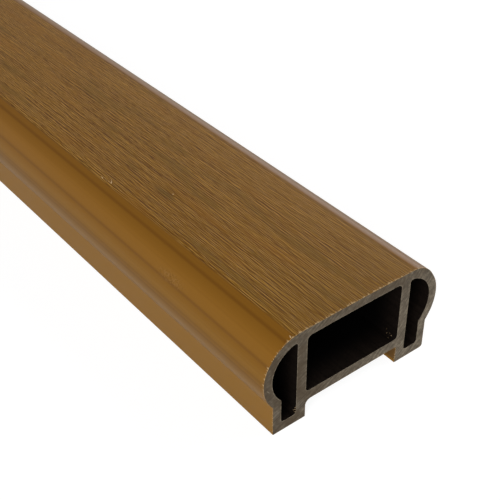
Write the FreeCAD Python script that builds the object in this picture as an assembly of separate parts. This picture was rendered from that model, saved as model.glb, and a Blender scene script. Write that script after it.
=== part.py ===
"""A straight length of hollow stair handrail, extruded in one piece from wood-plastic composite.

The section has a nearly flat top that rolls over into a round nose on each side. Under each nose
a leg runs down to a flat foot, and the shallow recess between the two feet sits over a support rail
or a post bracket. Two upright webs and a floor divide the inside into three chambers that run the
whole length: a wide one in the middle and one inside each nose and leg. Both ends are sawn square.

Lengths are in millimetres. X runs across the rail, Y along it and Z up. The origin is halfway along
the rail, on its centre line, in the plane that the feet rest on.
"""
import FreeCAD, Part
import math
import os

# Overall form
RAIL_LENGTH = 1800.0
OVERALL_WIDTH = 100.0  # across the two noses
OVERALL_HEIGHT = 51.0  # from the feet to the middle of the top
CROWN_RADIUS = 1500.0  # the top falls away very slightly on each side of its middle
NOSE_TOP_RADIUS = 20.0  # above the widest part of the nose
SHOULDER_RADIUS = 15.0  # the tighter round that the right nose turns into the top with
SHOULDER_START = math.radians(32)  # how far up its upper curve the right nose leaves for it
NOSE_UNDER_RADIUS = 23.0  # below it, down to the leg
NOSE_OVERHANG = 5.0  # how far each nose stands out past its leg
FOOT_WIDTH = 18.0  # from the outside of a leg to the recess
RECESS_DEPTH = 9.5

# Walls
TOP_WALL = 4.5
NOSE_WALL = 4.5
LEG_WALL = 4.5
FOOT_WALL = 5.0
WEB_WALL = 5.2
FLOOR_WALL = 5.2  # between the middle chamber and the recess

# Rounded corners. The two sides differ a little, as the die left them.
NECK_ROUND = 1.0
FOOT_LEFT_ROUND = 0.45
FOOT_RIGHT_ROUND = 1.4
RECESS_LEFT_ROUND = 3.0
RECESS_RIGHT_ROUND = 0.5
MIDDLE_ROOF_ROUND = 2.4
MIDDLE_FLOOR_ROUND = 1.8
NOSE_ROOF_ROUND = 2.0
NOSE_KNEE_ROUND = 0.6
NOSE_BOTTOM_ROUND = 1.6

# How far the cutting shape for a chamber runs past each sawn end, and how near two points that are
# meant to be one place come to each other
CUT_PAST_END = 5.0
SAME_PLACE = 1e-4

# Places across the section
leg_outer_x = OVERALL_WIDTH / 2 - NOSE_OVERHANG
leg_inner_x = leg_outer_x - LEG_WALL
recess_x = leg_outer_x - FOOT_WIDTH
web_outer_x = recess_x + WEB_WALL
nose_top_x = OVERALL_WIDTH / 2 - NOSE_TOP_RADIUS
nose_under_x = OVERALL_WIDTH / 2 - NOSE_UNDER_RADIUS

# Places up the section. Both curves of a nose are struck from the height of its widest part, and
# the upper one would run on to touch the crown.
crown_centre_z = OVERALL_HEIGHT - CROWN_RADIUS
nose_z = crown_centre_z + math.sqrt((CROWN_RADIUS - NOSE_TOP_RADIUS) ** 2 - nose_top_x**2)
floor_z = RECESS_DEPTH + FLOOR_WALL


def point(x, z):
    """A point of the section, drawn at the middle of the rail's length."""
    return FreeCAD.Vector(x, 0, z)


def height_on_circle(radius, across):
    """How far above or below its centre a circle passes, at this distance across from it."""
    return math.sqrt(radius**2 - across**2)


def line(start, end):
    return Part.LineSegment(start, end).toShape()


def arc(centre, radius, start, end):
    """The short way round a circle between two of its points."""
    outward = (start - centre).normalize() + (end - centre).normalize()
    middle = centre + outward.normalize() * radius
    return Part.Arc(start, middle, end).toShape()


def mirrored(shape):
    """The same shape on the other side of the rail's centre line."""
    return shape.mirror(point(0, 0), FreeCAD.Vector(1, 0, 0))


def prism(edges, length):
    """The closed outline that these edges make, drawn out along the rail and centred on it."""
    outline = Part.Wire(Part.__sortEdges__(edges))
    solid = Part.Face(outline).extrude(FreeCAD.Vector(0, length, 0))
    solid.translate(FreeCAD.Vector(0, -length / 2, 0))
    return solid


def rounded(solid, radius, corner):
    """Rounds the long edge of a prism that runs through this corner of its section."""
    edges = []
    for edge in solid.Edges:
        ends = [vertex.Point for vertex in edge.Vertexes]
        if all(math.hypot(end.x - corner.x, end.z - corner.z) < SAME_PLACE for end in ends):
            edges.append(edge)
    return solid.makeFillet(radius, edges)


def squared_shoulder(crown_centre, nose_centre, nose_side, top_middle):
    """The top and the upper nose on the right, where a short flat leads up to a tighter shoulder."""
    outward = point(math.cos(SHOULDER_START), math.sin(SHOULDER_START))
    upward = point(-math.sin(SHOULDER_START), math.cos(SHOULDER_START))
    flat_start = nose_centre + outward * NOSE_TOP_RADIUS
    # The shoulder's circle touches the crown from inside, which gives the length of the flat.
    from_crown = nose_centre + outward * (NOSE_TOP_RADIUS - SHOULDER_RADIUS) - crown_centre
    half_sum = from_crown.dot(upward)
    excess = from_crown.dot(from_crown) - (CROWN_RADIUS - SHOULDER_RADIUS) ** 2
    flat_length = math.sqrt(half_sum**2 - excess) - half_sum
    shoulder_centre = crown_centre + from_crown + upward * flat_length
    flat_end = shoulder_centre + outward * SHOULDER_RADIUS
    shoulder_top = shoulder_centre + (shoulder_centre - crown_centre).normalize() * SHOULDER_RADIUS
    return [
        arc(crown_centre, CROWN_RADIUS, top_middle, shoulder_top),
        arc(shoulder_centre, SHOULDER_RADIUS, shoulder_top, flat_end),
        line(flat_end, flat_start),
        arc(nose_centre, NOSE_TOP_RADIUS, flat_start, nose_side),
    ]


def full_bar():
    """The rail's outside with no chambers: top, noses, legs, feet and the recess between the feet."""
    crown_centre = point(0, crown_centre_z)
    nose_top_centre = point(nose_top_x, nose_z)
    top_middle = point(0, OVERALL_HEIGHT)
    nose_top = nose_top_centre + (nose_top_centre - crown_centre).normalize() * NOSE_TOP_RADIUS
    nose_side = point(OVERALL_WIDTH / 2, nose_z)
    neck = point(leg_outer_x, nose_z - height_on_circle(NOSE_UNDER_RADIUS, leg_outer_x - nose_under_x))
    foot_outer = point(leg_outer_x, 0)
    foot_inner = point(recess_x, 0)
    recess_corner = point(recess_x, RECESS_DEPTH)

    below_nose = [
        arc(point(nose_under_x, nose_z), NOSE_UNDER_RADIUS, nose_side, neck),
        line(neck, foot_outer),
        line(foot_outer, foot_inner),
        line(foot_inner, recess_corner),
    ]
    round_top = [
        arc(crown_centre, CROWN_RADIUS, top_middle, nose_top),
        arc(nose_top_centre, NOSE_TOP_RADIUS, nose_top, nose_side),
    ]
    right_side = squared_shoulder(crown_centre, nose_top_centre, nose_side, top_middle) + below_nose
    left_side = [mirrored(edge) for edge in round_top + below_nose]
    recess_roof = line(recess_corner, point(-recess_x, RECESS_DEPTH))
    bar = prism(right_side + left_side + [recess_roof], RAIL_LENGTH)

    bar = rounded(bar, NECK_ROUND, neck)
    bar = rounded(bar, NECK_ROUND, point(-neck.x, neck.z))
    bar = rounded(bar, FOOT_RIGHT_ROUND, foot_outer)
    bar = rounded(bar, FOOT_LEFT_ROUND, point(-leg_outer_x, 0))
    bar = rounded(bar, RECESS_RIGHT_ROUND, recess_corner)
    return rounded(bar, RECESS_LEFT_ROUND, point(-recess_x, RECESS_DEPTH))


def middle_chamber():
    """The wide chamber between the webs, under the top and over the recess."""
    crown_centre = point(0, crown_centre_z)
    radius = CROWN_RADIUS - TOP_WALL
    roof_middle = point(0, OVERALL_HEIGHT - TOP_WALL)
    roof_corner = point(recess_x, crown_centre_z + height_on_circle(radius, recess_x))
    floor_corner = point(recess_x, floor_z)
    right_side = [
        arc(crown_centre, radius, roof_middle, roof_corner),
        line(roof_corner, floor_corner),
        line(floor_corner, point(0, floor_z)),
    ]
    left_side = [mirrored(edge) for edge in right_side]
    chamber = prism(right_side + left_side, RAIL_LENGTH + 2 * CUT_PAST_END)
    for side in (1, -1):
        chamber = rounded(chamber, MIDDLE_ROOF_ROUND, point(side * recess_x, roof_corner.z))
        chamber = rounded(chamber, MIDDLE_FLOOR_ROUND, point(side * recess_x, floor_z))
    return chamber


def nose_chamber():
    """The chamber inside the right nose and leg, which leaves an even wall round the nose."""
    top_radius = NOSE_TOP_RADIUS - NOSE_WALL
    under_radius = NOSE_UNDER_RADIUS - NOSE_WALL
    roof = point(web_outer_x, nose_z + height_on_circle(top_radius, web_outer_x - nose_top_x))
    side = point(OVERALL_WIDTH / 2 - NOSE_WALL, nose_z)
    knee = point(leg_inner_x, nose_z - height_on_circle(under_radius, leg_inner_x - nose_under_x))
    bottom_outer = point(leg_inner_x, FOOT_WALL)
    bottom_inner = point(web_outer_x, FOOT_WALL)
    edges = [
        arc(point(nose_top_x, nose_z), top_radius, roof, side),
        arc(point(nose_under_x, nose_z), under_radius, side, knee),
        line(knee, bottom_outer),
        line(bottom_outer, bottom_inner),
        line(bottom_inner, roof),
    ]
    chamber = prism(edges, RAIL_LENGTH + 2 * CUT_PAST_END)
    chamber = rounded(chamber, NOSE_ROOF_ROUND, roof)
    chamber = rounded(chamber, NOSE_KNEE_ROUND, knee)
    chamber = rounded(chamber, NOSE_BOTTOM_ROUND, bottom_outer)
    return rounded(chamber, NOSE_BOTTOM_ROUND, bottom_inner)


def handrail_profile():
    """The finished length, with its three chambers open at both ends."""
    right_chamber = nose_chamber()
    hollow = full_bar().cut([middle_chamber(), right_chamber, mirrored(right_chamber)])
    return hollow.Solids[0]


os.makedirs("parts", exist_ok=True)
rail = handrail_profile()
rail.exportStep("parts/handrail_profile.step")
box = rail.BoundBox
print("handrail_profile", "valid" if rail.isValid() else "NOT VALID", "volume mm3", round(rail.Volume, 1))
print("size mm", round(box.XLength, 3), round(box.YLength, 3), round(box.ZLength, 3), "lowest z", round(box.ZMin, 4))
print("section area mm2", round(rail.Volume / RAIL_LENGTH, 2))
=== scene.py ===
import math
import random

import bmesh
import bpy
from mathutils import Matrix, Quaternion, Vector, noise
from mathutils.bvhtree import BVHTree


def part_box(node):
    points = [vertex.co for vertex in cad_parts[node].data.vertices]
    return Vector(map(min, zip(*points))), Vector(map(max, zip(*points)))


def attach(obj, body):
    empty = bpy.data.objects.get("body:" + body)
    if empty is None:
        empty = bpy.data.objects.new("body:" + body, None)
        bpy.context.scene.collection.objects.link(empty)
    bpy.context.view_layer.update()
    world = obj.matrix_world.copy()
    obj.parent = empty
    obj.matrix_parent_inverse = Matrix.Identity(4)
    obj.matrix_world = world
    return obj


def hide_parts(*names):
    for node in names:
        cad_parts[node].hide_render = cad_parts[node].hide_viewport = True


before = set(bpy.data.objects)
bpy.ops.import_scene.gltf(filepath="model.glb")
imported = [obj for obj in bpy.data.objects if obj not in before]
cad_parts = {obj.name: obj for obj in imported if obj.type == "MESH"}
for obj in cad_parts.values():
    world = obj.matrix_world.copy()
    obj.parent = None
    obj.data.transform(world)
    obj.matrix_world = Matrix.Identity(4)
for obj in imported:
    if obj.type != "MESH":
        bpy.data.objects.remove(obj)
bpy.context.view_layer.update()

MM = 0.001
rail_low, rail_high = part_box("handrail_profile")
near_end = rail_low.y
far_end = rail_high.y

# The camera
# It stands to the left of the near sawn end and looks down over the left nose, with the rail
# running away to the upper left. Its place is measured from the foot of the near end.
camera_left = 229.6 * MM
camera_in_front = 222.6 * MM
camera_height = 317.2 * MM
camera_turn = math.radians(-37.88)
camera_tilt = math.radians(37.08)
camera_roll = math.radians(-0.40)
camera_lens = 71.53

camera_data = bpy.data.cameras.new("camera")
camera_data.sensor_width = 36
camera_data.lens = camera_lens
camera_data.clip_start = 0.01
camera = bpy.data.objects.new("camera", camera_data)
bpy.context.scene.collection.objects.link(camera)
camera_place = Matrix.Translation((-camera_left, near_end - camera_in_front, camera_height))
camera_aim = Matrix.Rotation(camera_turn, 4, "Z") @ Matrix.Rotation(math.pi / 2 - camera_tilt, 4, "X")
camera.matrix_world = camera_place @ camera_aim @ Matrix.Rotation(camera_roll, 4, "Z")
bpy.context.scene.camera = camera

# The floor, the white surround and the lamps
# A pale floor meets a surround that is plain white to the camera. As light, the surround is bright low
# down on the right and dim on the left and overhead, as in a studio with dark walls. The main soft
# lamp stands in front on the left, and a weaker one on the right.
bpy.context.scene.view_settings.view_transform = "Standard"


def node(tree, kind, sockets=None, **settings):
    """Adds a shader node. A socket given for an input is linked, and any other value is set on it."""
    made = tree.nodes.new("ShaderNode" + kind)
    for name, value in settings.items():
        setattr(made, name, value)
    for name, value in (sockets or {}).items():
        if isinstance(value, bpy.types.NodeSocket):
            tree.links.new(value, made.inputs[name])
        else:
            made.inputs[name].default_value = value
    return made


def calculate(tree, operation, *numbers):
    """The result of a Math node on these numbers or sockets."""
    return node(tree, "Math", dict(enumerate(numbers)), operation=operation).outputs[0]


def ramp(tree, factor, stops, interpolation="LINEAR"):
    """A colour ramp with a stop for each pair of position and colour."""
    made = node(tree, "ValToRGB", {0: factor})
    made.color_ramp.interpolation = interpolation
    elements = made.color_ramp.elements
    while len(elements) < len(stops):
        elements.new(1.0)
    for element, (position, colour) in zip(elements, stops):
        element.position = position
        element.color = (*colour, 1)
    return made.outputs["Color"]


def new_material(name):
    """A material with no nodes but its output."""
    material = bpy.data.materials.new(name)
    material.use_nodes = True
    material.node_tree.nodes.clear()
    return material, material.node_tree, node(material.node_tree, "OutputMaterial")


floor_size = 6.0
floor_drop = 0.2 * MM
floor_grey = (0.52, 0.52, 0.52, 1)
shadow_grey = (0.2, 0.2, 0.2, 1)
floor_glow = 0.87
floor_mesh = bmesh.new()
bmesh.ops.create_grid(floor_mesh, x_segments=1, y_segments=1, size=floor_size)
bmesh.ops.translate(floor_mesh, verts=floor_mesh.verts[:], vec=(0, 0, -floor_drop))
floor_data = bpy.data.meshes.new("floor")
floor_mesh.to_mesh(floor_data)
floor_mesh.free()
floor = bpy.data.objects.new("floor", floor_data)
bpy.context.scene.collection.objects.link(floor)

floor_material, tree, output = new_material("pale_floor")
path = node(tree, "LightPath")
direct = calculate(tree, "MAXIMUM", path.outputs["Is Camera Ray"], path.outputs["Is Transmission Ray"])
lit = node(tree, "BsdfDiffuse", {"Color": floor_grey})
shadow_catch = node(tree, "BsdfDiffuse", {"Color": shadow_grey})
glow = node(tree, "Emission", {"Strength": floor_glow})
shown = node(tree, "AddShader", {0: shadow_catch.outputs[0], 1: glow.outputs[0]})
mixed = node(tree, "MixShader", {0: direct, 1: lit.outputs[0], 2: shown.outputs[0]})
tree.links.new(mixed.outputs[0], output.inputs["Surface"])
floor_data.materials.append(floor_material)

horizon_left = (0.4, 0.4, 0.4)
horizon_right = (1.9, 1.9, 1.9)
overhead = (0.15, 0.15, 0.15)
horizon_top = 0.15
overhead_from = 0.5
right_from = 0.40
right_full = 0.95
world = bpy.data.worlds.new("surround")
bpy.context.scene.world = world
world.use_nodes = True
tree = world.node_tree
tree.nodes.clear()
direction = node(tree, "TexCoord").outputs["Generated"]
axes = node(tree, "SeparateXYZ", {0: direction}).outputs
left_stops = [(horizon_top, horizon_left), (overhead_from, overhead)]
right_stops = [(horizon_top, horizon_right), (overhead_from, overhead)]
left_fade = ramp(tree, axes["Z"], left_stops, "EASE")
right_fade = ramp(tree, axes["Z"], right_stops, "EASE")
sockets = {"Value": axes["X"], "From Min": right_from, "From Max": right_full}
to_right = node(tree, "MapRange", sockets, interpolation_type="SMOOTHSTEP").outputs["Result"]
fade = node(tree, "Mix", {"Factor": to_right, "A": left_fade, "B": right_fade}, data_type="RGBA")
path = node(tree, "LightPath")
direct = calculate(tree, "MAXIMUM", path.outputs["Is Camera Ray"], path.outputs["Is Transmission Ray"])
sockets = {"Factor": direct, "A": fade.outputs["Result"], "B": (1, 1, 1, 1)}
white = node(tree, "Mix", sockets, data_type="RGBA")
background = node(tree, "Background", {"Color": white.outputs["Result"]})
node(tree, "OutputWorld", {"Surface": background.outputs[0]})


def soft_lamp(name, place, aim, size, watts):
    """A square soft lamp that faces a point."""
    lamp = bpy.data.lights.new(name, "AREA")
    lamp.size = size
    lamp.energy = watts
    holder = bpy.data.objects.new(name, lamp)
    holder.location = place
    holder.rotation_euler = (Vector(aim) - Vector(place)).to_track_quat("-Z", "Y").to_euler()
    bpy.context.scene.collection.objects.link(holder)


lamp_aim = (0, near_end + 0.4, 0)
soft_lamp("key_lamp", (-3.5, near_end - 2.5, 2.55), lamp_aim, size=3.5, watts=270)
soft_lamp("right_lamp", (3.4, near_end - 0.6, 2.0), lamp_aim, size=2.5, watts=82)

# The extruded rail
# Wood-plastic composite pushed through a die in one hollow length, with its golden-brown skin run on
# in the same die. The ends are sawn square, and the top is brushed to a fine lengthwise grain.
# The sizes across the section are the solid's own.
overall_half_width = rail_high.x
overall_height = rail_high.z
crown_radius = 1500 * MM
nose_top_radius = 20 * MM
shoulder_radius = 15 * MM
shoulder_start = math.radians(32)
nose_under_radius = 23 * MM
nose_overhang = 5 * MM
foot_width = 18 * MM
recess_depth = 9.5 * MM
top_wall = 4.5 * MM
nose_wall = 4.5 * MM
leg_wall = 4.5 * MM
foot_wall = 5 * MM
web_wall = 5.2 * MM
floor_wall = 5.2 * MM
neck_round = 1.0 * MM
foot_rounds = {-1: 0.45 * MM, 1: 1.4 * MM}
recess_rounds = {-1: 3.0 * MM, 1: 0.5 * MM}
middle_roof_round = 2.4 * MM
middle_floor_round = 1.8 * MM
nose_roof_round = 2.0 * MM
nose_knee_round = 0.6 * MM
nose_bottom_round = 1.6 * MM

brushed_left = 34.3 * MM
brushed_right = 34.8 * MM
brushed_margin = 1.2 * MM
grain_pitch = 0.32 * MM
grain_rows = 389
rim_width = 0.40 * MM
same_place = 0.001 * MM

leg_outer_x = overall_half_width - nose_overhang
leg_inner_x = leg_outer_x - leg_wall
recess_x = leg_outer_x - foot_width
web_outer_x = recess_x + web_wall
nose_top_x = overall_half_width - nose_top_radius
nose_under_x = overall_half_width - nose_under_radius
crown_centre_z = overall_height - crown_radius
nose_z = crown_centre_z + math.sqrt((crown_radius - nose_top_radius) ** 2 - nose_top_x**2)


def stroke(bm, pen, x, z):
    """A straight stroke of the section, which gives the pen's new vertex."""
    drawn = bmesh.ops.extrude_vert_indiv(bm, verts=[pen])["verts"][0]
    drawn.co = (x, pen.co.y, z)
    return drawn


def turn(bm, pen, centre, angle, steps):
    """A round stroke about a point of the section, clockwise as seen from the near end."""
    middle = (centre[0], pen.co.y, centre[1])
    spun = bmesh.ops.spin(bm, geom=[pen], cent=middle, axis=(0, 1, 0), angle=angle, steps=steps)
    return next(item for item in spun["geom_last"] if isinstance(item, bmesh.types.BMVert))


def round_corner(bm, x, z, setback, segments):
    """Rounds the outline's corner at this place."""
    corner = min(bm.verts, key=lambda vert: (vert.co.x - x) ** 2 + (vert.co.z - z) ** 2)
    bmesh.ops.bevel(
        bm,
        geom=[corner],
        offset=setback,
        offset_type="OFFSET",
        segments=segments,
        profile=0.5,
        affect="VERTICES",
        material=-1,
    )


def round_shoulder(bm, brushed_edge):
    """The left half of the top and the left nose down to its widest place, in one round."""
    crown_turn = math.atan2(nose_top_x, nose_z - crown_centre_z)
    edge_turn = math.asin((brushed_edge + brushed_margin - nose_top_x) / nose_top_radius)
    crown_steps = round(nose_top_x / grain_pitch)
    edge_steps = round((edge_turn - crown_turn) * nose_top_radius / grain_pitch)
    pen = bm.verts.new((0, near_end, overall_height))
    pen = turn(bm, pen, (0, crown_centre_z), -crown_turn, crown_steps)
    pen = turn(bm, pen, (-nose_top_x, nose_z), crown_turn - edge_turn, edge_steps)
    return turn(bm, pen, (-nose_top_x, nose_z), edge_turn - math.pi / 2, steps=24)


def squared_shoulder(bm, brushed_edge):
    """The right half of the top and the right nose, which a short flat leads up to a tighter round."""
    outward = Vector((math.cos(shoulder_start), math.sin(shoulder_start)))
    upward = Vector((-math.sin(shoulder_start), math.cos(shoulder_start)))
    nose_centre = Vector((nose_top_x, nose_z))
    crown_centre = Vector((0, crown_centre_z))
    from_crown = nose_centre + outward * (nose_top_radius - shoulder_radius) - crown_centre
    half_sum = from_crown.dot(upward)
    excess = from_crown.dot(from_crown) - (crown_radius - shoulder_radius) ** 2
    flat_length = math.sqrt(half_sum**2 - excess) - half_sum
    shoulder_centre = crown_centre + from_crown + upward * flat_length
    flat_start = nose_centre + outward * nose_top_radius

    crown_turn = math.atan2(shoulder_centre.x, shoulder_centre.y - crown_centre_z)
    edge_turn = math.asin((brushed_edge + brushed_margin - shoulder_centre.x) / shoulder_radius)
    crown_steps = round(shoulder_centre.x / grain_pitch)
    edge_steps = round((edge_turn - crown_turn) * shoulder_radius / grain_pitch)
    pen = bm.verts.new((0, near_end, overall_height))
    pen = turn(bm, pen, (0, crown_centre_z), crown_turn, crown_steps)
    pen = turn(bm, pen, shoulder_centre, edge_turn - crown_turn, edge_steps)
    pen = turn(bm, pen, shoulder_centre, math.pi / 2 - shoulder_start - edge_turn, steps=14)
    pen = stroke(bm, pen, flat_start.x, flat_start.y)
    return turn(bm, pen, nose_centre, shoulder_start, steps=9)


def below_nose(bm, pen, side):
    """The outside from a nose's widest place round its leg and foot to the middle of the recess."""
    neck_turn = math.acos((leg_outer_x - nose_under_x) / nose_under_radius)
    neck_z = nose_z - math.sqrt(nose_under_radius**2 - (leg_outer_x - nose_under_x) ** 2)
    pen = turn(bm, pen, (side * nose_under_x, nose_z), side * neck_turn, steps=14)
    pen = stroke(bm, pen, side * leg_outer_x, 0)
    pen = stroke(bm, pen, side * recess_x, 0)
    pen = stroke(bm, pen, side * recess_x, recess_depth)
    stroke(bm, pen, 0, recess_depth)

    neck_setback = neck_round * math.tan(neck_turn / 2)
    round_corner(bm, side * leg_outer_x, neck_z, neck_setback, segments=4)
    round_corner(bm, side * leg_outer_x, 0, foot_rounds[side], segments=5)
    round_corner(bm, side * recess_x, recess_depth, recess_rounds[side], segments=7)


def middle_chamber(bm):
    """The wide chamber between the webs."""
    roof_radius = crown_radius - top_wall
    roof_turn = math.asin(recess_x / roof_radius)
    roof_z = crown_centre_z + roof_radius * math.cos(roof_turn)
    floor_z = recess_depth + floor_wall
    pen = bm.verts.new((0, near_end, overall_height - top_wall))
    pen = turn(bm, pen, (0, crown_centre_z), roof_turn, steps=2)
    pen = stroke(bm, pen, recess_x, floor_z)
    pen = stroke(bm, pen, -recess_x, floor_z)
    pen = stroke(bm, pen, -recess_x, roof_z)
    turn(bm, pen, (0, crown_centre_z), roof_turn, steps=2)
    bmesh.ops.remove_doubles(bm, verts=bm.verts[:], dist=same_place)
    for side in (-1, 1):
        round_corner(bm, side * recess_x, roof_z, middle_roof_round, segments=6)
        round_corner(bm, side * recess_x, floor_z, middle_floor_round, segments=6)


def nose_chamber(bm, side):
    """The chamber inside one nose and leg."""
    top_radius = nose_top_radius - nose_wall
    under_radius = nose_under_radius - nose_wall
    roof_turn = math.asin((web_outer_x - nose_top_x) / top_radius)
    roof_z = nose_z + top_radius * math.cos(roof_turn)
    knee_turn = math.acos((leg_inner_x - nose_under_x) / under_radius)
    knee_z = nose_z - under_radius * math.sin(knee_turn)
    first_turn = math.radians(10)
    last_turn = math.pi / 2 - roof_turn - first_turn
    pen = bm.verts.new((side * web_outer_x, near_end, foot_wall))
    pen = stroke(bm, pen, side * web_outer_x, roof_z)
    pen = turn(bm, pen, (side * nose_top_x, nose_z), side * first_turn, steps=1)
    pen = turn(bm, pen, (side * nose_top_x, nose_z), side * last_turn, steps=18)
    pen = turn(bm, pen, (side * nose_under_x, nose_z), side * knee_turn, steps=11)
    pen = stroke(bm, pen, side * leg_inner_x, foot_wall)
    stroke(bm, pen, side * web_outer_x, foot_wall)
    bmesh.ops.remove_doubles(bm, verts=bm.verts[:], dist=same_place)
    roof_setback = nose_roof_round * math.tan((math.pi / 2 - roof_turn) / 2)
    knee_setback = nose_knee_round * math.tan(knee_turn / 2)
    round_corner(bm, side * web_outer_x, roof_z, roof_setback, segments=6)
    round_corner(bm, side * leg_inner_x, knee_z, knee_setback, segments=4)
    round_corner(bm, side * leg_inner_x, foot_wall, nose_bottom_round, segments=6)
    round_corner(bm, side * web_outer_x, foot_wall, nose_bottom_round, segments=6)


def wave(y, seed):
    """How far the edge of the brushed band wanders at this place along the rail."""
    slow_length = 70 * MM
    quick_length = 17 * MM
    slow = noise.noise(Vector((y / slow_length, seed, 0.5)))
    quick = noise.noise(Vector((y / quick_length, seed, 7.5)))
    return (0.45 * slow + 0.2 * quick) * MM


def inside_band(x, y):
    """How far inside the brushed band this place is, in millimetres, and below 0 outside it."""
    from_left = x + brushed_left + wave(y, 3.0)
    from_right = brushed_right + wave(y, 8.0) - x
    return min(from_left, from_right) / MM


def grain_height(x, y):
    """The brushed grain at this place, from 0 in a groove to 1 on a ridge."""
    drift_width, drift_length = 9 * MM, 90 * MM
    fine_width, fine_length = 0.52 * MM, 20 * MM
    broad_width, broad_length = 1.7 * MM, 50 * MM
    drift = 0.6 * MM * noise.noise(Vector((y / drift_length, x / drift_width, 2.5)))
    fine = noise.noise(Vector(((x + drift) / fine_width, y / fine_length, 1.5)))
    broad = noise.noise(Vector(((x + drift) / broad_width, y / broad_length, 4.5)))
    return min(1.0, max(0.0, 0.5 + 0.8 * fine + 0.1 * broad))


skin_edge_name = "skin_edge"
chamber_edge_name = "chamber_edge"
band_name = "inside_band"
grain_name = "grain"
rail_mesh = bmesh.new()
skin_edge = rail_mesh.verts.layers.float.new(skin_edge_name)
chamber_edge = rail_mesh.verts.layers.float.new(chamber_edge_name)
band_layer = rail_mesh.verts.layers.float.new(band_name)
grain_layer = rail_mesh.verts.layers.float.new(grain_name)

below_nose(rail_mesh, round_shoulder(rail_mesh, brushed_left), -1)
below_nose(rail_mesh, squared_shoulder(rail_mesh, brushed_right), 1)
bmesh.ops.remove_doubles(rail_mesh, verts=rail_mesh.verts[:], dist=same_place)
outside = rail_mesh.verts[:]
# The noses' widest places come out a hair past the solid's sides, and go back to them.
for vert in outside:
    vert.co.x = min(max(vert.co.x, -overall_half_width), overall_half_width)
middle_chamber(rail_mesh)
nose_chamber(rail_mesh, -1)
nose_chamber(rail_mesh, 1)
for vert in rail_mesh.verts:
    vert[chamber_edge] = 1
for vert in outside:
    vert[skin_edge] = 1
    vert[chamber_edge] = 0

bmesh.ops.triangle_fill(rail_mesh, use_beauty=True, edges=rail_mesh.edges[:], normal=(0, -1, 0))
bmesh.ops.inset_region(
    rail_mesh,
    faces=rail_mesh.faces[:],
    thickness=rim_width,
    use_boundary=True,
    use_even_offset=True,
)
for vert in rail_mesh.verts:
    if not vert.is_boundary:
        vert[skin_edge] = 0
        vert[chamber_edge] = 0
section = rail_mesh.faces[:] + rail_mesh.edges[:] + rail_mesh.verts[:]
drawn_out = bmesh.ops.extrude_face_region(rail_mesh, geom=section, use_keep_orig=True)["geom"]
far_verts = [item for item in drawn_out if isinstance(item, bmesh.types.BMVert)]
bmesh.ops.translate(rail_mesh, verts=far_verts, vec=(0, far_end - near_end, 0))
bmesh.ops.recalc_face_normals(rail_mesh, faces=rail_mesh.faces[:])

sawn_slot, skin_slot, chamber_slot = 0, 1, 2
for face in rail_mesh.faces:
    along_rail = abs(face.normal.y) < 0.5
    if along_rail and all(vert[skin_edge] == 1 for vert in face.verts):
        face.material_index = skin_slot
    elif along_rail and all(vert[chamber_edge] == 1 for vert in face.verts):
        face.material_index = chamber_slot
    else:
        face.material_index = sawn_slot

long_edges = []
for edge in rail_mesh.edges:
    first, last = edge.verts
    runs_along = abs(first.co.y - last.co.y) > 0.5 * (far_end - near_end)
    on_top = first.co.z > nose_z and first[skin_edge] == 1
    past_left = first.co.x + brushed_left + brushed_margin > -same_place
    past_right = brushed_right + brushed_margin - first.co.x > -same_place
    if runs_along and on_top and past_left and past_right:
        long_edges.append(edge)
bmesh.ops.subdivide_edges(rail_mesh, edges=long_edges, cuts=grain_rows, use_grid_fill=True)

# The brushed band lies a little below the skin, and its grain is cut into it.
step_down = 0.07 * MM
grain_depth = 0.04 * MM
step_width = 0.8 * MM
far_outside = -5.0
for vert in rail_mesh.verts:
    vert[band_layer] = far_outside
    vert[grain_layer] = 0.5
    if vert.co.z < nose_z or vert[skin_edge] < 1:
        continue
    inside = inside_band(vert.co.x, vert.co.y)
    if inside < -2 * brushed_margin / MM:
        continue
    vert[band_layer] = inside
    brushed = min(1.0, max(0.0, 0.5 + inside * MM / step_width))
    vert[grain_layer] = grain_height(vert.co.x, vert.co.y)
    vert.co.z -= brushed * (step_down + grain_depth * (1 - vert[grain_layer]))

for face in rail_mesh.faces:
    face.smooth = True
bmesh.ops.recalc_face_normals(rail_mesh, faces=rail_mesh.faces[:])
rail_data = bpy.data.meshes.new("handrail_length")
rail_mesh.to_mesh(rail_data)
rail_surface = BVHTree.FromBMesh(rail_mesh)
rail_mesh.free()
sharp_from = math.radians(40)
rail_data.set_sharp_from_angle(angle=sharp_from)
rail = bpy.data.objects.new("handrail_length", rail_data)
bpy.context.scene.collection.objects.link(rail)
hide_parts("handrail_profile")
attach(rail, "root")


def between(tree, value, low, high):
    """0 where the value is at the low bound, 1 at the high one, and smooth in between."""
    sockets = {"Value": value, "From Min": low, "From Max": high}
    return node(tree, "MapRange", sockets, interpolation_type="SMOOTHSTEP").outputs["Result"]


def mix_colour(tree, factor, first, second):
    """The first colour at a factor of 0 and the second at 1."""
    sockets = {"Factor": factor, "A": first, "B": second}
    return node(tree, "Mix", sockets, data_type="RGBA").outputs["Result"]


def vector_math(tree, operation, *vectors):
    """A Vector Math node on these vectors or sockets."""
    return node(tree, "VectorMath", dict(enumerate(vectors)), operation=operation)


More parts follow.
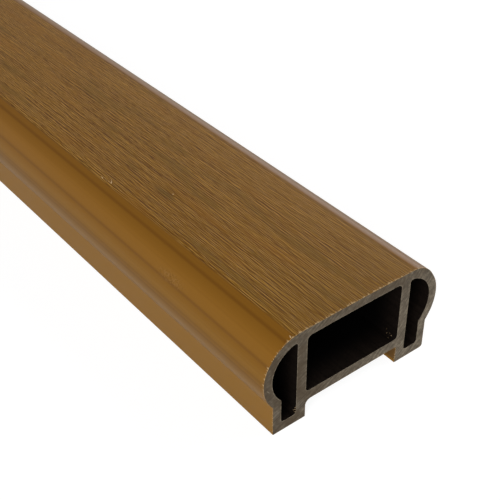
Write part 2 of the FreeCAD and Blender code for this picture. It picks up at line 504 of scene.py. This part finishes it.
def noise_group(name, cell_sockets):
    """A shader node group of soft noise, in cells of the sizes that its inputs give."""
    tree = bpy.data.node_groups.new(name, "ShaderNodeTree")
    tree.interface.new_socket(name="Vector", in_out="INPUT", socket_type="NodeSocketVector")
    for socket in [*dict.fromkeys(cell_sockets), "Detail"]:
        tree.interface.new_socket(name=socket, in_out="INPUT", socket_type="NodeSocketFloat")
    tree.interface.new_socket(name="Value", in_out="OUTPUT", socket_type="NodeSocketFloat")
    inputs = tree.nodes.new("NodeGroupInput").outputs
    result = tree.nodes.new("NodeGroupOutput").inputs
    cell_sizes = {axis: inputs[socket] for axis, socket in zip("XYZ", cell_sockets)}
    cell = node(tree, "CombineXYZ", cell_sizes).outputs["Vector"]
    scaled = vector_math(tree, "DIVIDE", inputs["Vector"], cell).outputs["Vector"]
    sockets = {"Vector": scaled, "Scale": 1.0, "Detail": inputs["Detail"], "Roughness": 0.6}
    tree.links.new(node(tree, "TexNoise", sockets).outputs["Fac"], result["Value"])
    return tree


# Streaks that run along the rail, and speckle with no direction.
lengthwise_streaks = noise_group("lengthwise_streaks", ["Width", "Length", "Width"])
round_speckle = noise_group("round_speckle", ["Size", "Size", "Size"])

# How far a place on the rail is from the nearer sawn end.
cut_distance = bpy.data.node_groups.new("cut_distance", "ShaderNodeTree")
cut_distance.interface.new_socket(name="Vector", in_out="INPUT", socket_type="NodeSocketVector")
cut_distance.interface.new_socket(name="Value", in_out="OUTPUT", socket_type="NodeSocketFloat")
inputs = cut_distance.nodes.new("NodeGroupInput").outputs
result = cut_distance.nodes.new("NodeGroupOutput").inputs
along = node(cut_distance, "SeparateXYZ", {0: inputs["Vector"]}).outputs["Y"]
from_middle = calculate(cut_distance, "ABSOLUTE", along)
cut_distance.links.new(calculate(cut_distance, "SUBTRACT", far_end, from_middle), result["Value"])

# Hairs along the rail, each darker or lighter than its neighbour, with 0.5 as the mean.
next_hair = (1.2, 0.0, 0.0)
lengthwise_hairs = bpy.data.node_groups.new("lengthwise_hairs", "ShaderNodeTree")
lengthwise_hairs.interface.new_socket(name="Vector", in_out="INPUT", socket_type="NodeSocketVector")
for socket in ("Width", "Length"):
    lengthwise_hairs.interface.new_socket(name=socket, in_out="INPUT", socket_type="NodeSocketFloat")
lengthwise_hairs.interface.new_socket(name="Value", in_out="OUTPUT", socket_type="NodeSocketFloat")
inputs = lengthwise_hairs.nodes.new("NodeGroupInput").outputs
result = lengthwise_hairs.nodes.new("NodeGroupOutput").inputs
sockets = {"X": inputs["Width"], "Y": inputs["Length"], "Z": inputs["Width"]}
cell = node(lengthwise_hairs, "CombineXYZ", sockets).outputs["Vector"]
scaled = vector_math(lengthwise_hairs, "DIVIDE", inputs["Vector"], cell).outputs["Vector"]
beside = vector_math(lengthwise_hairs, "ADD", scaled, next_hair).outputs["Vector"]
here, there = (
    node(lengthwise_hairs, "TexNoise", {"Vector": spot, "Scale": 1.0, "Detail": 0.0}).outputs["Fac"]
    for spot in (scaled, beside)
)
contrast = calculate(lengthwise_hairs, "SUBTRACT", here, there)
lengthwise_hairs.links.new(calculate(lengthwise_hairs, "ADD", contrast, 0.5), result["Value"])


def placed(tree, shared, **values):
    """Places a shared node group in a material with its own values."""
    made = node(tree, "Group", None, node_tree=shared)
    for name, value in values.items():
        if isinstance(value, bpy.types.NodeSocket):
            tree.links.new(value, made.inputs[name])
        else:
            made.inputs[name].default_value = value
    return made.outputs["Value"]


def soft_spot(tree, place, centre, reach):
    """1 at the centre of a mark, and 0 beyond its reach along each axis."""
    offset = vector_math(tree, "SUBTRACT", place, centre).outputs["Vector"]
    share = vector_math(tree, "DIVIDE", offset, reach).outputs["Vector"]
    return between(tree, vector_math(tree, "LENGTH", share).outputs["Value"], 1.0, 0.2)


# The skin's finish: smooth and slightly glossy on the noses, legs and feet, in lengthwise bands of
# gold and brown with soft dark lines along the left side, and matt with fine streaks in
# the brushed band.
leg_gold = (0.250, 0.111, 0.001)
neck_ochre = (0.254, 0.120, 0.014)
waist_brown = (0.190, 0.083, 0.002)
nose_gold = (0.220, 0.100, 0.007)
nose_brown = (0.196, 0.082, 0.001)
shoulder_gold = (0.231, 0.101, 0.010)
shoulder_brown = (0.193, 0.080, 0.005)
line_dark = (0.105, 0.036, 0.001, 1)
groove_brown = (0.066, 0.016, 0.000)
ridge_brown = (0.181, 0.077, 0.001)
ridge_tan = (0.370, 0.197, 0.038)
grey_patch = (0.130, 0.064, 0.004, 1)
orange_patch = (0.220, 0.084, 0.001, 1)
rub_pale = (0.270, 0.145, 0.045, 1)
rub_dark = (0.090, 0.038, 0.004, 1)
smudge_brown = (0.082, 0.042, 0.003, 1)
recess_shade = (0.070, 0.030, 0.003, 1)
right_tan = (0.260, 0.130, 0.024, 1)
broken_edge = (0.480, 0.330, 0.160, 1)
smooth_roughness = 0.30
brushed_roughness = 0.46
skin_specular = 0.38

skin, tree, output = new_material("capped_skin")
place = node(tree, "TexCoord").outputs["Object"]
xyz = node(tree, "SeparateXYZ", {0: place})
inside = node(tree, "Attribute", attribute_name=band_name).outputs["Fac"]
grain = node(tree, "Attribute", attribute_name=grain_name).outputs["Fac"]
brushed = between(tree, inside, -0.15, 0.15)
# The band's edges, where a dark line of painted shadow is laid.
band_edge_painted_shadow = between(tree, calculate(tree, "ABSOLUTE", inside), 0.55, 0.1)

# The brushed band: hairs of three lengths that sway a little, over wider and fainter streaks.
sway_reach = 0.3 * MM
sway = placed(tree, lengthwise_streaks, Vector=place, Width=8 * MM, Length=90 * MM, Detail=1.0)
sideways = calculate(tree, "MULTIPLY", sway, sway_reach)
aside = node(tree, "CombineXYZ", {"X": sideways}).outputs["Vector"]
swaying = vector_math(tree, "ADD", place, aside).outputs["Vector"]
short_hairs = placed(tree, lengthwise_hairs, Vector=swaying, Width=0.28 * MM, Length=6 * MM)
hairs = placed(tree, lengthwise_hairs, Vector=swaying, Width=0.31 * MM, Length=18 * MM)
long_hairs = placed(tree, lengthwise_hairs, Vector=swaying, Width=0.37 * MM, Length=90 * MM)
medium = placed(tree, lengthwise_streaks, Vector=swaying, Width=1.2 * MM, Length=50 * MM, Detail=1.0)
broad = placed(tree, lengthwise_streaks, Vector=place, Width=3.5 * MM, Length=150 * MM, Detail=1.0)
tone = calculate(tree, "MULTIPLY", short_hairs, 0.32)
tone = calculate(tree, "MULTIPLY_ADD", hairs, 0.26, tone)
tone = calculate(tree, "MULTIPLY_ADD", long_hairs, 0.25, tone)
tone = calculate(tree, "MULTIPLY_ADD", medium, 0.06, tone)
tone = calculate(tree, "MULTIPLY_ADD", broad, 0.07, tone)
tone = calculate(tree, "MULTIPLY_ADD", grain, 0.03, tone)
# The brush bit a little less near the cut.
from_cut = placed(tree, cut_distance, Vector=place)
bite = calculate(tree, "MULTIPLY_ADD", between(tree, from_cut, 50 * MM, 200 * MM), 0.4, 1.0)
tone = calculate(tree, "MULTIPLY", calculate(tree, "SUBTRACT", tone, 0.5), bite)
tone = between(tree, tone, -0.16, 0.16)
grain_colour = ramp(tree, tone, [(0.0, groove_brown), (0.5, ridge_brown), (1.0, ridge_tan)])
# Wider patches of it are greyer or warmer, its right side paler, and the part next to the cut duller.
patch = placed(tree, lengthwise_streaks, Vector=place, Width=8 * MM, Length=50 * MM, Detail=1.0)
greyness = calculate(tree, "MULTIPLY", between(tree, patch, 0.56, 0.74), 0.5)
warmth = calculate(tree, "MULTIPLY", between(tree, patch, 0.44, 0.28), 0.35)
brushed_colour = mix_colour(tree, greyness, grain_colour, grey_patch)
brushed_colour = mix_colour(tree, warmth, brushed_colour, orange_patch)
paler = calculate(tree, "MULTIPLY", between(tree, xyz.outputs["X"], 12 * MM, brushed_right), 0.16)
brushed_colour = mix_colour(tree, paler, brushed_colour, right_tan)
duller = calculate(tree, "MULTIPLY", between(tree, from_cut, 60 * MM, 0.0), 0.25)
brushed_colour = mix_colour(tree, duller, brushed_colour, grey_patch)

# The smooth skin: bands of colour up its height, whose edges wander a little along the rail.
band_wander = 1.6 * MM
drift = placed(tree, lengthwise_streaks, Vector=place, Width=40 * MM, Length=160 * MM, Detail=1.0)
drift = calculate(tree, "SUBTRACT", drift, 0.5)
height = calculate(tree, "MULTIPLY_ADD", drift, band_wander, xyz.outputs["Z"])
bands = [
    (14 * MM, leg_gold),
    (17 * MM, neck_ochre),
    (24 * MM, neck_ochre),
    (30 * MM, waist_brown),
    (35.5 * MM, nose_gold),
    (39 * MM, nose_brown),
    (45 * MM, shoulder_gold),
    (49 * MM, shoulder_brown),
]
share_of_height = calculate(tree, "DIVIDE", height, overall_height)
band_stops = [(level / overall_height, tint) for level, tint in bands]
smooth_colour = ramp(tree, share_of_height, band_stops)
# Dark lines along the left side: the height of each, its half width and its strength.
left_dark_lines = (
    (30.2 * MM, 0.9 * MM, 0.26),
    (32.5 * MM, 1.0 * MM, 0.28),
    (40.4 * MM, 1.1 * MM, 0.45),
    (49.0 * MM, 0.6 * MM, 0.50),
)
on_left = between(tree, xyz.outputs["X"], -30 * MM, -34 * MM)
for line_height, half_width, strength in left_dark_lines:
    above_line = calculate(tree, "SUBTRACT", xyz.outputs["Z"], line_height)
    off_line = calculate(tree, "ABSOLUTE", above_line)
    line = calculate(tree, "MULTIPLY", between(tree, off_line, half_width, 0.0), strength)
    line = calculate(tree, "MULTIPLY", line, on_left)
    smooth_colour = mix_colour(tree, line, smooth_colour, line_dark)
die_lines = placed(tree, lengthwise_streaks, Vector=place, Width=1.1 * MM, Length=700 * MM, Detail=2.0)
faint_dark = calculate(tree, "MULTIPLY", between(tree, die_lines, 0.5, 0.3), 0.12)
smooth_colour = mix_colour(tree, faint_dark, smooth_colour, line_dark)
# A rubbed mark on the left nose, and two dull smudges on the brushed band.
rub_place = (-45.4 * MM, near_end + 70 * MM, 42.0 * MM)
rub_reach = (6 * MM, 14 * MM, 3.2 * MM)
rub_specks = placed(tree, round_speckle, Vector=place, Size=0.8 * MM, Detail=2.0)
rub = soft_spot(tree, place, rub_place, rub_reach)
for tint, low, high in ((rub_pale, 0.50, 0.60), (rub_dark, 0.46, 0.36)):
    share = calculate(tree, "MULTIPLY", rub, between(tree, rub_specks, low, high))
    smooth_colour = mix_colour(tree, calculate(tree, "MULTIPLY", share, 0.5), smooth_colour, tint)
smudge_reach = (2.6 * MM, 11 * MM, 5 * MM)
for x, y, strength in ((-17.2 * MM, 117 * MM, 0.6), (-16.2 * MM, 147 * MM, 0.4)):
    smudge = soft_spot(tree, place, (x, near_end + y, overall_height), smudge_reach)
    smudge = calculate(tree, "MULTIPLY", smudge, strength)
    brushed_colour = mix_colour(tree, smudge, brushed_colour, smudge_brown)
colour = mix_colour(tree, brushed, smooth_colour, brushed_colour)
# Painted shadow: a dark line along both edges of the brushed band, for the shade of its small step.
colour = mix_colour(tree, calculate(tree, "MULTIPLY", band_edge_painted_shadow, 0.35), colour, line_dark)

# Painted shade: the skin is darkened in the recess between the feet, which is hidden once the rail is
# fixed.
off_middle = calculate(tree, "ABSOLUTE", xyz.outputs["X"])
between_legs = between(tree, off_middle, leg_inner_x, recess_x)
below_roof = between(tree, xyz.outputs["Z"], recess_depth + 0.5 * MM, recess_depth)
under = calculate(tree, "MULTIPLY", between_legs, below_roof)
above_feet = between(tree, xyz.outputs["Z"], 0.0, 2.5 * MM)
recess_painted_shade = calculate(tree, "MULTIPLY", under, above_feet)
colour = mix_colour(tree, calculate(tree, "MULTIPLY", recess_painted_shade, 0.75), colour, recess_shade)

# The saw lifts the skin at the cut: a pale broken line of uneven width.
widest_tear = 2.0 * MM
flat_on_cut = (1.0, 0.0, 1.0)
across = vector_math(tree, "MULTIPLY", place, flat_on_cut).outputs["Vector"]
torn = placed(tree, round_speckle, Vector=across, Size=0.9 * MM, Detail=3.0)
torn_width = calculate(tree, "MULTIPLY", between(tree, torn, 0.46, 0.70), widest_tear)
torn_edge = between(tree, from_cut, torn_width, 0.0)
colour = mix_colour(tree, torn_edge, colour, broken_edge)

sockets = {"Factor": brushed, "A": smooth_roughness, "B": brushed_roughness}
rough = node(tree, "Mix", sockets, data_type="FLOAT").outputs["Result"]
streak_bump = node(tree, "Bump", {"Strength": brushed, "Distance": 0.06 * MM, "Height": short_hairs})
peel = placed(tree, lengthwise_streaks, Vector=place, Width=2.2 * MM, Length=60 * MM, Detail=1.0)
streak_normal = streak_bump.outputs["Normal"]
sockets = {"Strength": 0.35, "Distance": 0.03 * MM, "Height": peel, "Normal": streak_normal}
peel_bump = node(tree, "Bump", sockets)
sockets = {
    "Base Color": colour,
    "Roughness": rough,
    "Specular IOR Level": skin_specular,
    "Normal": peel_bump.outputs["Normal"],
}
shader = node(tree, "BsdfPrincipled", sockets)
tree.links.new(shader.outputs[0], output.inputs["Surface"])

# The sawn end's finish: the grey-brown body with arcs that the saw blade left, a thin golden line
# where the skin is cut through, and paler burnished rims round the chambers.
body_dark = (0.060, 0.046, 0.031)
body_grey = (0.120, 0.096, 0.066)
body_light = (0.225, 0.187, 0.134)
body_deep_brown = (0.058, 0.038, 0.019, 1)
cut_skin = (0.160, 0.090, 0.030, 1)
cut_skin_pale = (0.360, 0.240, 0.115, 1)
burnished = (0.235, 0.195, 0.135, 1)
blade_centre = (-66 * MM, 0.0, 126 * MM)
saw_mark_spacing = 1.5 * MM
mark_break = (9 * MM, 9 * MM, 9 * MM)

sawn, tree, output = new_material("sawn_end")
place = node(tree, "TexCoord").outputs["Object"]
from_blade = vector_math(tree, "SUBTRACT", place, blade_centre).outputs["Vector"]
from_blade = vector_math(tree, "MULTIPLY", from_blade, flat_on_cut).outputs["Vector"]
radius = vector_math(tree, "LENGTH", from_blade).outputs["Value"]
arc_number = calculate(tree, "DIVIDE", radius, saw_mark_spacing)
arcs = node(tree, "CombineXYZ", {"X": arc_number}).outputs["Vector"]
loose = vector_math(tree, "DIVIDE", place, mark_break).outputs["Vector"]
arcs = vector_math(tree, "ADD", arcs, loose).outputs["Vector"]
sockets = {"Vector": arcs, "Scale": 1.3, "Detail": 2.0, "Roughness": 0.7}
saw_marks = node(tree, "TexNoise", sockets).outputs["Fac"]
mottle = placed(tree, round_speckle, Vector=place, Size=1.3 * MM, Detail=5.0)
blotch = placed(tree, round_speckle, Vector=place, Size=7 * MM, Detail=2.0)
tone = calculate(tree, "MULTIPLY", saw_marks, 0.5)
tone = calculate(tree, "MULTIPLY_ADD", mottle, 0.35, tone)
tone = calculate(tree, "MULTIPLY_ADD", blotch, 0.15, tone)
tone = between(tree, tone, 0.34, 0.66)
colour = ramp(tree, tone, [(0.0, body_dark), (0.5, body_grey), (1.0, body_light)])
# It is darker and browner in blotches towards its left side and top.
sides = node(tree, "SeparateXYZ", {0: place}).outputs
towards_left = between(tree, sides["X"], 25 * MM, -40 * MM)
towards_top = between(tree, sides["Z"], 38 * MM, 50 * MM)
left_top_reach = calculate(tree, "MAXIMUM", towards_left, calculate(tree, "MULTIPLY", towards_top, 0.85))
left_top_darkening = calculate(tree, "MULTIPLY", between(tree, blotch, 0.25, 0.60), left_top_reach)
colour = mix_colour(tree, calculate(tree, "MULTIPLY", left_top_darkening, 0.85), colour, body_deep_brown)
# A short slanting scratch low on the left nose's wall.
scratch_place = (-47.6 * MM, near_end, 27.3 * MM)
scratch_reach = (0.28 * MM, 1 * MM, 1.7 * MM)
scratch_slant = math.radians(38)
sockets = {"Vector": place, "Center": scratch_place, "Angle": scratch_slant}
turned = node(tree, "VectorRotate", sockets, rotation_type="Y_AXIS").outputs["Vector"]
scratch = soft_spot(tree, turned, scratch_place, scratch_reach)
colour = mix_colour(tree, calculate(tree, "MULTIPLY", scratch, 0.8), colour, burnished)
# The cut skin runs round the outside, and the burnished rims run round the chambers.
skin_rim = node(tree, "Attribute", attribute_name=skin_edge_name).outputs["Fac"]
chamber_rim = node(tree, "Attribute", attribute_name=chamber_edge_name).outputs["Fac"]
skin_line = mix_colour(tree, between(tree, mottle, 0.50, 0.70), cut_skin, cut_skin_pale)
on_skin = calculate(tree, "MULTIPLY", between(tree, skin_rim, 0.35, 0.8), 0.8)
colour = mix_colour(tree, on_skin, colour, skin_line)
broken = between(tree, mottle, 0.3, 0.6)
on_rim = calculate(tree, "MULTIPLY", between(tree, chamber_rim, 0.15, 0.8), broken)
colour = mix_colour(tree, on_rim, colour, burnished)
saw_bump = node(tree, "Bump", {"Strength": 0.5, "Distance": 0.12 * MM, "Height": saw_marks})
saw_normal = saw_bump.outputs["Normal"]
sockets = {"Strength": 0.5, "Distance": 0.08 * MM, "Height": mottle, "Normal": saw_normal}
rough_bump = node(tree, "Bump", sockets)
sockets = {
    "Base Color": colour,
    "Roughness": 0.75,
    "Specular IOR Level": 0.3,
    "Normal": rough_bump.outputs["Normal"],
}
shader = node(tree, "BsdfPrincipled", sockets)
tree.links.new(shader.outputs[0], output.inputs["Surface"])

# The chamber walls' finish: painted shade, almost black, for the shade inside the chambers, with faint
# die lines; it is a little browner at the cut and deepens to a darker painted shade further in.
chamber_dark = (0.0016, 0.0011, 0.0008)
chamber_brown = (0.0105, 0.0070, 0.0052)
chamber_painted_shade = (0.0003, 0.0002, 0.0002, 1)
shade_from_cut_length = 16 * MM
chamber, tree, output = new_material("chamber_wall")
place = node(tree, "TexCoord").outputs["Object"]
drawn = placed(tree, lengthwise_streaks, Vector=place, Width=1.2 * MM, Length=300 * MM, Detail=3.0)
specks = placed(tree, round_speckle, Vector=place, Size=0.8 * MM, Detail=3.0)
tone = calculate(tree, "MULTIPLY_ADD", specks, 0.5, calculate(tree, "MULTIPLY", drawn, 0.5))
colour = ramp(tree, tone, [(0.3, chamber_dark), (0.7, chamber_brown)])
from_cut = placed(tree, cut_distance, Vector=place)
# Painted shade that deepens further in from the cut.
colour = mix_colour(tree, between(tree, from_cut, 0.0, shade_from_cut_length), colour, chamber_painted_shade)
die_bump = node(tree, "Bump", {"Strength": 0.4, "Distance": 0.1 * MM, "Height": drawn})
sockets = {
    "Base Color": colour,
    "Roughness": 0.85,
    "Specular IOR Level": 0.03,
    "Normal": die_bump.outputs["Normal"],
}
shader = node(tree, "BsdfPrincipled", sockets)
tree.links.new(shader.outputs[0], output.inputs["Surface"])

rail_data.materials.append(sawn)
rail_data.materials.append(skin)
rail_data.materials.append(chamber)

# The burr along the cuts
# The saw tore the skin's upper edge, so short pale slivers of it stand or lie along both cuts. A few
# hang in the left chamber, and one on the left shoulder has curled up.
burr_left = -44 * MM
burr_right = 39 * MM
burr_count = 70
burr_lengths = (0.25 * MM, 0.75 * MM)
burr_thicknesses = (0.06 * MM, 0.12 * MM)
behind_cut = 0.3 * MM
sliver_sides = 5
sliver_pieces = 4
sliver_taper = 0.72


def surface_height(x, y):
    """The height of the rail's top surface at this place."""
    above = Vector((x, y, 2 * overall_height))
    return rail_surface.ray_cast(above, Vector((0, 0, -1)))[0].z


def sliver(bm, root, heading, length, thickness, curl):
    """A tapering sliver from its root along a heading, which turns by the curl on its way up."""
    upright = heading.to_track_quat("Z", "Y").to_matrix().to_4x4()
    base = bmesh.ops.create_circle(
        bm,
        cap_ends=True,
        segments=sliver_sides,
        radius=thickness,
        matrix=Matrix.Translation(root) @ upright,
    )
    tip = base["verts"][0].link_faces[0]
    step = heading.normalized() * (length / sliver_pieces)
    bend = Quaternion(heading.orthogonal(), curl / sliver_pieces)
    narrower = (sliver_taper, sliver_taper, sliver_taper)
    for _ in range(sliver_pieces):
        drawn = bmesh.ops.extrude_face_region(bm, geom=[tip])["geom"]
        tip = next(item for item in drawn if isinstance(item, bmesh.types.BMFace))
        bmesh.ops.translate(bm, verts=tip.verts[:], vec=step)
        middle = tip.calc_center_median()
        around = Matrix.Translation(-middle)
        bmesh.ops.scale(bm, verts=tip.verts[:], vec=narrower, space=around)
        bmesh.ops.rotate(bm, verts=tip.verts[:], cent=middle, matrix=bend.to_matrix())
        step.rotate(bend)


def keep_in_rail_box(bm):
    """Presses the slivers back to the height and length that the rail has."""
    for vert in bm.verts:
        vert.co.z = min(vert.co.z, overall_height)
        vert.co.y = min(max(vert.co.y, near_end), far_end)


def finish_slivers(name, bm, material):
    """Turns the slivers' mesh into a piece of the rail."""
    keep_in_rail_box(bm)
    bmesh.ops.recalc_face_normals(bm, faces=bm.faces[:])
    for face in bm.faces:
        face.smooth = True
    data = bpy.data.meshes.new(name)
    bm.to_mesh(data)
    bm.free()
    data.materials.append(material)
    piece = bpy.data.objects.new(name, data)
    bpy.context.scene.collection.objects.link(piece)
    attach(piece, "root")


torn_tan = (0.330, 0.205, 0.085)
torn_pale = (0.560, 0.400, 0.215)
torn_skin, tree, output = new_material("torn_skin")
place = node(tree, "TexCoord").outputs["Object"]
fibres = placed(tree, round_speckle, Vector=place, Size=0.5 * MM, Detail=2.0)
colour = ramp(tree, fibres, [(0.35, torn_tan), (0.65, torn_pale)])
fibre_bump = node(tree, "Bump", {"Strength": 0.5, "Distance": 0.05 * MM, "Height": fibres})
sockets = {
    "Base Color": colour,
    "Roughness": 0.7,
    "Specular IOR Level": 0.3,
    "Normal": fibre_bump.outputs["Normal"],
}
shader = node(tree, "BsdfPrincipled", sockets)
tree.links.new(shader.outputs[0], output.inputs["Surface"])

chance = random.Random(7)
burr = bmesh.new()
for cut, inward in ((near_end, 1), (far_end, -1)):
    for _ in range(burr_count):
        x = chance.uniform(burr_left, burr_right)
        length = chance.uniform(*burr_lengths)
        thickness = chance.uniform(*burr_thicknesses)
        height = surface_height(x, cut + inward * behind_cut)
        rise = min(0.8, max(0.0, (overall_height - height - thickness) / length))
        heading = Vector((chance.uniform(-0.3, 1.0), inward * chance.uniform(0.1, 0.9), rise))
        root = Vector((x, cut + inward * thickness, height - 0.4 * thickness))
        sliver(burr, root, heading, length, thickness, chance.uniform(-0.7, 0.7))

# The curled sliver, in three strands.
curl_root = Vector((-35.8 * MM, near_end + 0.1 * MM, 50.1 * MM))
sliver(burr, curl_root, Vector((0.35, 1.4, 0.75)), 1.7 * MM, 0.17 * MM, 0.9)
sliver(burr, curl_root, Vector((-0.15, 1.4, 0.6)), 1.5 * MM, 0.14 * MM, -0.5)
sliver(burr, curl_root, Vector((0.45, 0.05, 0.7)), 0.9 * MM, 0.14 * MM, 0.6)
# Longer slivers that lie on the top: where each is across the rail, and its length, in millimetres.
ticks = ((-12.0, 1.0), (-9.5, 1.2), (-4.8, 2.0), (9.5, 1.0), (18.0, 1.1), (23.3, 0.9))
for x, length in ticks:
    height = surface_height(x * MM, near_end + behind_cut)
    root = Vector((x * MM, near_end + 0.1 * MM, height + 0.02 * MM))
    sliver(burr, root, Vector((0.78, 0.63, 0.05)), length * MM, 0.20 * MM, 0.3)
# The ones that hang from the web into the left chamber.
for height, length in ((6.4 * MM, 1.0 * MM), (7.3 * MM, 1.5 * MM), (8.6 * MM, 0.8 * MM)):
    root = Vector((-web_outer_x + 0.1 * MM, near_end + 0.15 * MM, height))
    sliver(burr, root, Vector((-1.0, 0.25, chance.uniform(-0.7, 0.3))), length, 0.12 * MM, 0.9)
finish_slivers("cut_edge_burr", burr, torn_skin)

# Nicks on the top
# Two knocks at the left edge of the brushed band raised pale slivers of skin. A fine one joins them and
# another runs from there towards the near end, and a grain of the body stands proud further in.
# Each has its place across and from the near end, its heading, its length and its thickness.
nick_rise = 0.12 * MM
nick_slivers = (
    (-32.6 * MM, 140.6 * MM, (0.5, 0.8, 0.15), 2.9 * MM, 0.28 * MM),
    (-32.5 * MM, 140.6 * MM, (0.0, 1.0, 0.03), 1.4 * MM, 0.18 * MM),
    (-32.6 * MM, 141.4 * MM, (-0.1, 1.0, 0.0), 6.2 * MM, 0.07 * MM),
    (-33.4 * MM, 147.4 * MM, (0.1, 1.0, 0.1), 2.1 * MM, 0.28 * MM),
    (-32.6 * MM, 139.8 * MM, (0.0, -1.0, 0.0), 18.0 * MM, 0.08 * MM),
    (-14.9 * MM, 113.2 * MM, (0.5, 0.8, 0.2), 1.3 * MM, 0.40 * MM),
)
nicks = bmesh.new()
for x, y, heading, length, thickness in nick_slivers:
    root = Vector((x, near_end + y, surface_height(x, near_end + y) + nick_rise))
    sliver(nicks, root, Vector(heading), length, thickness, 0.0)
finish_slivers("raised_nicks", nicks, torn_skin)

# Grains of saw dust
# A few grains of the body that the saw left in the lower right corner of the wide chamber, just inside
# the cut, each with its place across, from the near end and up, in millimetres.
grain_places = (
    (26.5, 3.9, 15.6),
    (26.2, 2.6, 15.1),
    (26.0, 5.2, 14.95),
    (24.6, 3.0, 14.75),
    (26.8, 6.4, 16.2),
)
dust = bmesh.new()
for x, y, z in grain_places:
    size = chance.uniform(0.10, 0.22) * MM
    middle = Vector((x * MM, near_end + y * MM, z * MM))
    rolled = Matrix.Rotation(chance.uniform(0, math.pi), 4, "X")
    spun = Matrix.Rotation(chance.uniform(0, math.pi), 4, "Z")
    turned = rolled @ spun
    squashed = Matrix.Diagonal((1.0, chance.uniform(0.5, 0.9), chance.uniform(0.4, 0.8), 1.0))
    shape = Matrix.Translation(middle) @ turned @ squashed
    bmesh.ops.create_icosphere(dust, subdivisions=1, radius=size, matrix=shape)
finish_slivers("saw_dust", dust, torn_skin)
